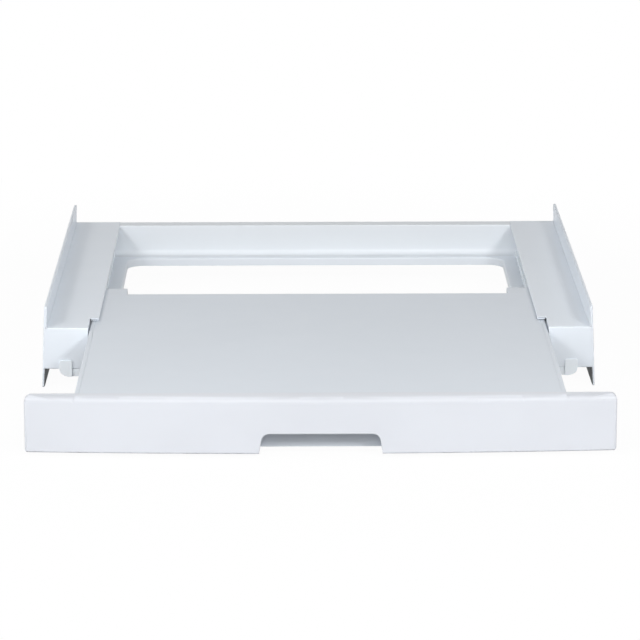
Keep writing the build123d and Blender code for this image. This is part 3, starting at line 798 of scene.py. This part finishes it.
def even_normals(mesh: bpy.types.Mesh, sharp_degrees: float) -> np.ndarray:
    """Normals for every face corner that keep flat sheets flat and bends smooth.

    At a corner, the normals of the triangles round its point are added up where they turn from the
    corner's own triangle by no more than the sharp angle. Each is weighted by the area of the whole
    plane that its triangle is part of, so that a flat sheet outweighs the facets of the bend beside it.

    Args:
        mesh: A mesh of triangles whose points are merged.
        sharp_degrees: Edges that turn more than this stay sharp.

    Returns:
        Unit normals with shape (corners, 3).
    """
    corner_point = read(mesh.loops, "vertex_index", 1).ravel().astype(int)
    normal = read(mesh.polygons, "normal", 3)
    area = read(mesh.polygons, "area", 1).ravel()
    point = read(mesh.vertices, "co", 3)
    offset = (normal * point[corner_point[::3]]).sum(axis=1)
    plane = np.column_stack([np.round(normal / PLANE_TURN), np.round(offset / PLANE_STEP)])
    which = np.unique(plane, axis=0, return_inverse=True)[1].ravel()
    weight = np.bincount(which, area)[which]
    order = np.argsort(corner_point, kind="stable")
    ordered = corner_point[order]
    first = np.searchsorted(ordered, ordered, "left")
    count = np.searchsorted(ordered, ordered, "right") - first
    here = np.repeat(np.arange(len(order)), count)
    step = np.arange(len(here)) - np.repeat(np.cumsum(count) - count, count)
    own, other = order[here] // 3, order[first[here] + step] // 3
    turn = (normal[own] * normal[other]).sum(axis=1)
    share = np.where(turn > math.cos(math.radians(sharp_degrees)), weight[other], 0.0)
    sums = [np.bincount(order[here], share * normal[other, axis], len(order)) for axis in range(3)]
    total = np.stack(sums, axis=1)
    return total / np.linalg.norm(total, axis=1, keepdims=True)


@dataclass(frozen=True)
class FormedTwin:
    """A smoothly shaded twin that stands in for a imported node, with the same shape.

    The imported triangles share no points, so each is shaded flat and bends show their facets. The
    twin's points are merged and its corners get even normals.
    """

    node: str
    slot: str
    body: Body
    sharp_degrees: float = 35.0

    def reshape(self, shell: bmesh.types.BMesh) -> None:
        """Leave the merged mesh as it is."""

    def shade(self, mesh: bpy.types.Mesh, given: np.ndarray) -> np.ndarray:
        """Keep the given normals."""
        return given

    def build(self) -> None:
        """Make the twin from its node, which is already dressed."""
        mesh = frame["nodes"][self.node].data.copy()
        mesh.name = f"formed_{self.node}"
        shell = bmesh.new()
        shell.from_mesh(mesh)
        bmesh.ops.remove_doubles(shell, verts=shell.verts, dist=MERGE_DISTANCE)
        self.reshape(shell)
        shell.to_mesh(mesh)
        shell.free()
        mesh.shade_smooth()
        normals = self.shade(mesh, even_normals(mesh, self.sharp_degrees))
        mesh.normals_split_custom_set(normals.tolist())
        twin = bpy.data.objects.new(mesh.name, mesh)
        bpy.context.scene.collection.objects.link(twin)
        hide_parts(self.node)
        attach(twin, self.body.value)
        log.info("%s: %d triangles", twin.name, len(mesh.polygons))


def corner_arrays(mesh: bpy.types.Mesh) -> tuple[np.ndarray, np.ndarray]:
    """Place and triangle's normal at every face corner of a mesh of triangles."""
    corner_point = read(mesh.loops, "vertex_index", 1).ravel().astype(int)
    point = read(mesh.vertices, "co", 3)[corner_point]
    return point, np.repeat(read(mesh.polygons, "normal", 3), 3, axis=0)


@dataclass(frozen=True)
class LedgeTwin(FormedTwin):
    """A ledge whose tight bend to its upstand is shaded as one crease."""

    bend_reach: float = 14 * MILLIMETRE
    least_lean: float = 0.05
    most_level: float = 0.999

    def shade(self, mesh: bpy.types.Mesh, given: np.ndarray) -> np.ndarray:
        """Turn each triangle of the bend to the level or the upright direction that it is nearer to.

        Args:
            mesh: The ledge's mesh.
            given: Normals of its corners.

        Returns:
            The normals, with those of the bend snapped.
        """
        point, face = corner_arrays(mesh)
        outside = np.abs(point[:, 0]).max() - np.abs(point[:, 0]) < self.bend_reach
        inwards = face[:, 0] * point[:, 0] < 0.0
        leaning = (face[:, 2] > self.least_lean) & (face[:, 2] < self.most_level)
        bend = outside & inwards & leaning & (np.abs(face[:, 1]) < self.least_lean)
        level = np.array([0.0, 0.0, 1.0])
        upright = -np.sign(point[:, :1]) * np.array([1.0, 0.0, 0.0])
        snapped = np.where(face[:, 2:] > math.sqrt(0.5), level, upright)
        return np.where(bend[:, None], snapped, given)


@dataclass(frozen=True)
class PanelTwin(FormedTwin):
    """The front panel: a bowed front with rounded upper and lower edges, and exact normals on them.

    A corner takes the exact normal if its triangle leans from it by no more than so many degrees:
    lean in the middle, end_lean within the corner's size of an end, where other triangles belong to
    the end's own rounds, and long_lean on long slivers, which run along a round.
    """

    bow: float = 10.3 * MILLIMETRE
    top_round: float = 6.5 * MILLIMETRE
    foot_round: float = 1.2 * MILLIMETRE
    corner: float = 7.0 * MILLIMETRE
    long: float = 15 * MILLIMETRE
    margin: float = 1.0 * MILLIMETRE
    snap: float = 0.0001 * MILLIMETRE
    lean: float = 70.0
    end_lean: float = 30.0
    long_lean: float = 84.0

    def reshape(self, shell: bmesh.types.BMesh) -> None:
        """Keep the right half, whose end is rounded, and mirror it to the left.

        Args:
            shell: The panel's merged mesh.
        """
        parts = shell.verts[:] + shell.edges[:] + shell.faces[:]
        bmesh.ops.bisect_plane(
            shell, geom=parts, dist=self.snap, plane_co=(0.0, 0.0, 0.0), plane_no=(1.0, 0.0, 0.0),
            clear_inner=True)
        parts = shell.verts[:] + shell.edges[:] + shell.faces[:]
        twin = bmesh.ops.duplicate(shell, geom=parts)["geom"]
        moved = [item for item in twin if isinstance(item, bmesh.types.BMVert)]
        bmesh.ops.scale(shell, vec=(-1.0, 1.0, 1.0), verts=moved)
        bmesh.ops.remove_doubles(shell, verts=shell.verts, dist=MERGE_DISTANCE)
        bmesh.ops.triangulate(shell, faces=shell.faces)
        bmesh.ops.recalc_face_normals(shell, faces=shell.faces)

    def shade(self, mesh: bpy.types.Mesh, given: np.ndarray) -> np.ndarray:
        """Put the exact normals of the bowed front and its rounds in.

        The front is part of an upright cylinder, so its normal points away from the cylinder's axis.
        A round is part of a ring about the same axis, so its normal points away from the nearest
        point of the ring's centre line, which lies the round's radius inside the front and the edge.

        Args:
            mesh: The panel's mesh.
            given: Normals of its corners.

        Returns:
            The normals, with exact ones where a corner's triangle lies along the skin.
        """
        low, high = (np.array(corner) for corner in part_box(self.node))
        half = high[0]
        radius = (half ** 2 + self.bow ** 2) / (2.0 * self.bow)
        point, face = corner_arrays(mesh)
        away = point - np.array([0.0, low[1] + radius, 0.0])
        away[:, 2] = 0.0
        reach = np.linalg.norm(away, axis=1, keepdims=True)
        away = away / reach
        exact = away
        for edge, rounding, upwards in ((high[2], self.top_round, 1.0), (low[2], self.foot_round, -1.0)):
            out = (reach - (radius - rounding)) * away
            out[:, 2] = point[:, 2] - (edge - upwards * rounding)
            length = np.linalg.norm(out, axis=1, keepdims=True)
            ring = out / np.maximum(length, TINY)
            exact = np.where(out[:, 2:] * upwards > 0.0, ring, exact)
        middle = np.abs(point[:, 0]) < half - self.corner
        width = np.repeat(np.ptp(point[:, 0].reshape(-1, 3), axis=1), 3)
        lean = np.select([width > self.long, middle], [self.long_lean, self.lean], self.end_lean)
        along = (face * exact).sum(axis=1) > np.cos(np.radians(lean))
        skin = reach[:, 0] > radius - self.top_round - self.margin
        return np.where((along & skin)[:, None], exact, given)


TWINS: dict[str, type[FormedTwin]] = {
    "front_panel": PanelTwin,
    "ledge_left": LedgeTwin,
    "ledge_right": LedgeTwin,
}


def form_nodes(body: Body, left_out: Sequence[str]) -> None:
    """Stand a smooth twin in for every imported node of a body.

    Args:
        body: The body.
        left_out: Nodes that finer pieces stand in for.
    """
    slots = {part["node"]: part["material_slot"] for part in frame["record"]["subparts"]}
    for node in frame["record"]["behaviour"]["bodies"][body.value]:
        if node not in left_out:
            TWINS.get(node, FormedTwin)(node, slots[node], body).build()


@dataclass
class SkirtFoam:
    """Stuck-on strip of grey foam rubber along the inner side of a skirt, as painted shade.

    It darkens the skirt's inside below the base, where only shade falls. The strip follows the skirt's lean,
    from a little above its lower edge to a little below the base, and ends short of both of its ends.
    """

    side: Side
    thickness: float = 0.9 * MILLIMETRE
    edge: float = 0.4 * MILLIMETRE
    end_share: float = 0.3
    foot_gap: float = 1.4 * MILLIMETRE
    top_gap: float = 0.8 * MILLIMETRE
    front_gap: float = 0.8 * MILLIMETRE
    rear_gap: float = 9.0 * MILLIMETRE
    glue: float = 0.02 * MILLIMETRE
    around: int = 24
    rings_along: int = 40
    sharp_degrees: float = 60.0

    def rings(self) -> np.ndarray:
        """The strip's rings from its front to its rear end.

        A ring is an oblong whose corners are rounded: a circle of the edge's radius, moved out to
        the oblong's four corners by the sign of its cosine and sine. The oblong lies in the plane
        of height and width, sheared by the skirt's lean, and the corners of the first and the last
        ring shrink to the end share of that radius.

        Returns:
            Points with shape (rings, around, 3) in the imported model's frame.
        """
        node = self.side.node("side_panel")
        low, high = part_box(node)
        points = read(frame["nodes"][node].data.vertices, "co", 3)
        inner = np.abs(points[:, 0]).min()
        rise = points[np.abs(points[:, 0]) < inner + PLANE_STEP, 2].max()
        foot = np.abs(points[points[:, 2] < PLANE_STEP, 0]).min()
        lean = (foot - inner) / rise
        z_low, z_high = low[2] + self.foot_gap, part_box("base_pan")[0][2] - self.top_gap
        turn = (np.arange(self.around) + 0.5) * 2.0 * np.pi / self.around
        along = np.linspace(low[1] + self.front_gap, high[1] - self.rear_gap, self.rings_along)
        along[1], along[-2] = along[0] + self.edge, along[-1] - self.edge
        drawn = np.full(self.rings_along, self.edge)
        drawn[[0, -1]] *= self.end_share
        half_height = (z_high - z_low) / 2.0 - self.edge
        half_width = self.thickness / 2.0 - self.edge
        height = (z_low + z_high) / 2.0 + half_height * np.sign(np.cos(turn)) + drawn[:, None] * np.cos(turn)
        width = half_width * np.sign(np.sin(turn)) + drawn[:, None] * np.sin(turn)
        middle = foot - lean * height - self.thickness / 2.0 - self.glue
        across = self.side.value * middle + width
        depth = np.broadcast_to(along[:, None], height.shape)
        return np.stack([across, depth, height], axis=-1)

    def build(self, wardrobe: Wardrobe) -> None:
        """Make the strip and stick it to its skirt.

        Args:
            wardrobe: The finishes.
        """
        piece = ring_mesh(self.side.node("skirt_foam"), self.rings(), self.sharp_degrees)
        piece.data.materials.append(wardrobe.foam)
        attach(piece, Body.FRAME.value)
        log.info("%s: %d faces", piece.name, len(piece.data.polygons))


@dataclass
class FixedFrame:
    """Side panels, ledges, base, rear beam, rails, saddles and feet."""

    wardrobe: Wardrobe
    screws: list[ScrewSet] = field(default_factory=lambda: [ScrewSet("saddle_screws", Body.FRAME, 2, 1)])

    def build(self) -> None:
        """Make the frame's formed sheets and mouldings and its finer pieces."""
        form_nodes(Body.FRAME, [group.node for group in self.screws])
        for group in self.screws:
            group.build(self.wardrobe)
        for side in Side:
            # Dark strips inside the skirts, as painted shade.
            SkirtFoam(side).build(self.wardrobe)


@dataclass
class SlidingTray:
    """Tray sheet, ribs, glides, runners and the front panel."""

    wardrobe: Wardrobe
    screws: list[ScrewSet] = field(default_factory=lambda: [
        ScrewSet("glide_screws", Body.TRAY, 1, 1),
        ScrewSet("panel_screws", Body.TRAY, 1, -1),
    ])

    def build(self) -> None:
        """Make the tray's formed sheets and mouldings and its finer pieces."""
        form_nodes(Body.TRAY, [group.node for group in self.screws] + ["panel_buffers"])
        for group in self.screws:
            group.build(self.wardrobe)
        self.build_buffers()

    def build_buffers(self) -> None:
        """Stand a domed buffer in for each plain one."""
        pieces = []
        for points in clusters("panel_buffers"):
            low, high = points.min(axis=0), points.max(axis=0)
            size = high - low
            buffer = RubberBuffer(tuple((low + high) / 2.0), size[2] / 2.0, size[1])
            pieces.append(ring_mesh("buffer", buffer.rings(), buffer.sharp_degrees))
        piece = join("domed_buffers", pieces)
        self.wardrobe.dress(piece, "grey_rubber")
        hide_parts("panel_buffers")
        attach(piece, Body.TRAY.value)
        log.info("%s: %d buffers", piece.name, len(pieces))


@dataclass(frozen=True)
class SoftBox:
    """Its power is in watts."""

    name: str
    around: float
    above: float
    power: float
    size: float = 0.8
    reach: float = 2.6
    aim: Point = (0.0, 0.05, 0.04)

    def build(self) -> None:
        """Hang the lamp and turn it to its aim.

        Its direction from the aim is (sin a cos e, -cos a cos e, sin e), with a degrees around from
        the front to the right and e degrees above the floor.
        """
        around, above = math.radians(self.around), math.radians(self.above)
        level = math.cos(above)
        away = Vector((math.sin(around) * level, -math.cos(around) * level, math.sin(above)))
        lamp = bpy.data.lights.new(self.name, "AREA")
        lamp.shape = "SQUARE"
        lamp.size = self.size
        lamp.energy = self.power
        holder = bpy.data.objects.new(self.name, lamp)
        holder.location = Vector(self.aim) + self.reach * away
        holder.rotation_euler = away.to_track_quat("Z", "Y").to_euler()
        bpy.context.scene.collection.objects.link(holder)


@dataclass(frozen=True)
class Viewpoint:
    """Where the photograph was taken from, fitted to its edges. Angles are in degrees."""

    place: Point = (-0.02856, -3.77198, 0.98088)
    focal_pixels: float = 3398.6
    image_pixels: float = 640.0
    sensor: float = 36.0
    down: float = 13.96
    yaw: float = 0.474
    roll: float = -0.063

    def build(self) -> None:
        """Set the camera up.

        Its forward axis is turned right by the yaw and down by the pitch. Its right axis is level,
        and both cross axes are then turned by the roll.
        """
        down, yaw, roll = (math.radians(angle) for angle in (self.down, self.yaw, self.roll))
        forward = Vector((math.sin(yaw) * math.cos(down), math.cos(yaw) * math.cos(down), -math.sin(down)))
        level = Vector((math.cos(yaw), -math.sin(yaw), 0.0))
        upright = level.cross(forward)
        right = math.cos(roll) * level + math.sin(roll) * upright
        up = -math.sin(roll) * level + math.cos(roll) * upright
        camera = bpy.data.cameras.new("camera")
        camera.sensor_width = self.sensor
        camera.lens = self.focal_pixels * self.sensor / self.image_pixels
        holder = bpy.data.objects.new("camera", camera)
        turn = Matrix((right, up, -forward)).transposed().to_4x4()
        holder.matrix_world = Matrix.Translation(self.place) @ turn
        bpy.context.scene.collection.objects.link(holder)
        bpy.context.scene.camera = holder


@dataclass
class Studio:
    """Pale floor, soft lamps and an even surround."""

    surround: float = 0.243
    floor_size: float = 14.0
    floor_colour: Colour = (0.35, 0.35, 0.355)
    seen_colour: Colour = (0.92, 0.92, 0.92)
    shadow_share: float = 0.035
    shadow_span: Span = (0.4, 1.1)
    lamps: tuple[SoftBox, ...] = (
        SoftBox("front", around=0.0, above=27.5, power=37.7, size=1.4, reach=4.5),
        SoftBox("left_upper", around=-32.0, above=29.0, power=15.0, size=0.45),
        SoftBox("left_high", around=-54.0, above=33.0, power=8.8),
        SoftBox("left_low", around=-60.0, above=12.0, power=10.8),
        SoftBox("right_upper", around=29.0, above=29.0, power=22.3, size=0.45),
        SoftBox("right_low", around=57.0, above=12.0, power=7.0),
        SoftBox("back_left", around=-142.0, above=9.0, power=3.0),
        SoftBox("back_right", around=142.0, above=9.0, power=3.0),
    )

    def build(self) -> None:
        """Make the surround, the floor and the lamps."""
        self.build_world()
        self.build_floor()
        for lamp in self.lamps:
            lamp.build()
        bpy.context.scene.view_settings.view_transform = "Standard"

    def build_world(self) -> None:
        """White where it is seen or mirrored, and dimmer as a light."""
        world = bpy.data.worlds.new("surround")
        bpy.context.scene.world = world
        bench = ShaderBench(world)
        strength = self.surround + bench.looked_at() * (1.0 - self.surround)
        white = bench.node("ShaderNodeBackground", {}, {"Color": (*WHITE, 1.0), "Strength": strength})
        bench.node("ShaderNodeOutputWorld", {}, {"Surface": white.outputs[0]})

    def build_floor(self) -> None:
        """A level sheet that looks white to the camera and keeps a light shadow."""
        material = bpy.data.materials.new("floor")
        bench = ShaderBench(material)
        matt = bench.node("ShaderNodeBsdfDiffuse", {}, {"Color": (*self.floor_colour, 1.0)})
        pale = bench.node("ShaderNodeBsdfDiffuse", {}, {"Color": (*self.seen_colour, 1.0)})
        glow = bench.node("ShaderNodeEmission", {}, {"Color": (*WHITE, 1.0), "Strength": 1.0})
        distance = bench.node("ShaderNodeVectorMath", {"operation": "LENGTH"}, {0: bench.place()})
        near = 1.0 - Wire(bench, distance.outputs["Value"]).step(*self.shadow_span)
        inputs = {0: near * self.shadow_share, 1: glow.outputs[0], 2: pale.outputs[0]}
        seen = bench.node("ShaderNodeMixShader", {}, inputs)
        inputs = {0: bench.looked_at(), 1: matt.outputs[0], 2: seen.outputs[0]}
        both = bench.node("ShaderNodeMixShader", {}, inputs)
        bench.node("ShaderNodeOutputMaterial", {}, {"Surface": both.outputs[0]})
        half = self.floor_size / 2.0
        mesh = bpy.data.meshes.new("floor")
        points = [(-half, -half, 0.0), (half, -half, 0.0), (half, half, 0.0), (-half, half, 0.0)]
        mesh.from_pydata(points, [], [(0, 1, 2, 3)])
        mesh.materials.append(material)
        floor = bpy.data.objects.new("floor", mesh)
        bpy.context.scene.collection.objects.link(floor)


def dress_nodes(wardrobe: Wardrobe) -> None:
    """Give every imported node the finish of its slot.

    Args:
        wardrobe: The finishes.
    """
    for part in frame["record"]["subparts"]:
        wardrobe.dress(frame["nodes"][part["node"]], part["material_slot"])
        log.info("%s: %s", part["node"], part["material_slot"])
    for name, material in wardrobe.batches.items():
        frame["nodes"][name].data.materials[0] = material


def main() -> None:
    """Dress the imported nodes, build the finer pieces, and set up the studio."""
    logging.basicConfig(level=logging.INFO, format="%(message)s")
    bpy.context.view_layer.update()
    wardrobe = Wardrobe()
    dress_nodes(wardrobe)
    FixedFrame(wardrobe).build()
    SlidingTray(wardrobe).build()
    Studio().build()
    Viewpoint().build()


if __name__ == "__main__":
    main()
